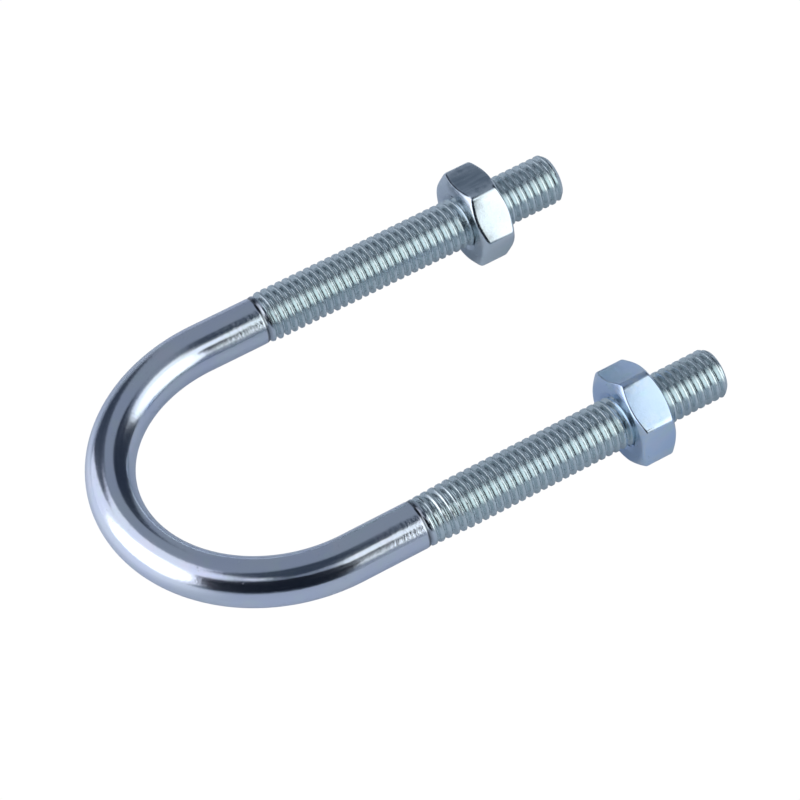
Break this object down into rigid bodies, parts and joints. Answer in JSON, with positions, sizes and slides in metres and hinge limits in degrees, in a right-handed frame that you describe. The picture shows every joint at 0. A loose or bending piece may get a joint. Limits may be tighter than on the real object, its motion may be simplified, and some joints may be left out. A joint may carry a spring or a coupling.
{
  "type": "u-bolt",
  "caption": "Round rod bent into a U, with a rolled thread on each leg and a plain hexagon nut on each thread, in bright zinc-plated steel, for clamping a pipe to a plate or a beam.",
  "frame": {"origin": "middle of the object's box, on the rod's centre-line plane and halfway between the two legs", "axes": "+Y along the legs, from the bend to their tips; +Z square to the plane of the U; +X from the left leg to the right leg"},
  "size_m": [0.0719, 0.109, 0.0192],
  "materials": {
    "rod_zinc": "bright zinc plating, drawn and rolled steel beneath",
    "nut_zinc": "bright zinc plating, smooth cold-formed faces"
  },
  "bodies": {
    "rod": {"bent_rod": "rod_zinc"},
    "left_nut": {"left_nut": "nut_zinc"},
    "right_nut": {"right_nut": "nut_zinc"}
  },
  "joints": [
    {"name": "left_nut_travel", "type": "slide", "parent": "rod", "child": "left_nut", "axis": [0, 1, 0], "range_m": [-0.042, 0.021]},
    {"name": "right_nut_travel", "type": "slide", "parent": "rod", "child": "right_nut", "axis": [0, 1, 0], "range_m": [-0.0405, 0.0225]}
  ]
}
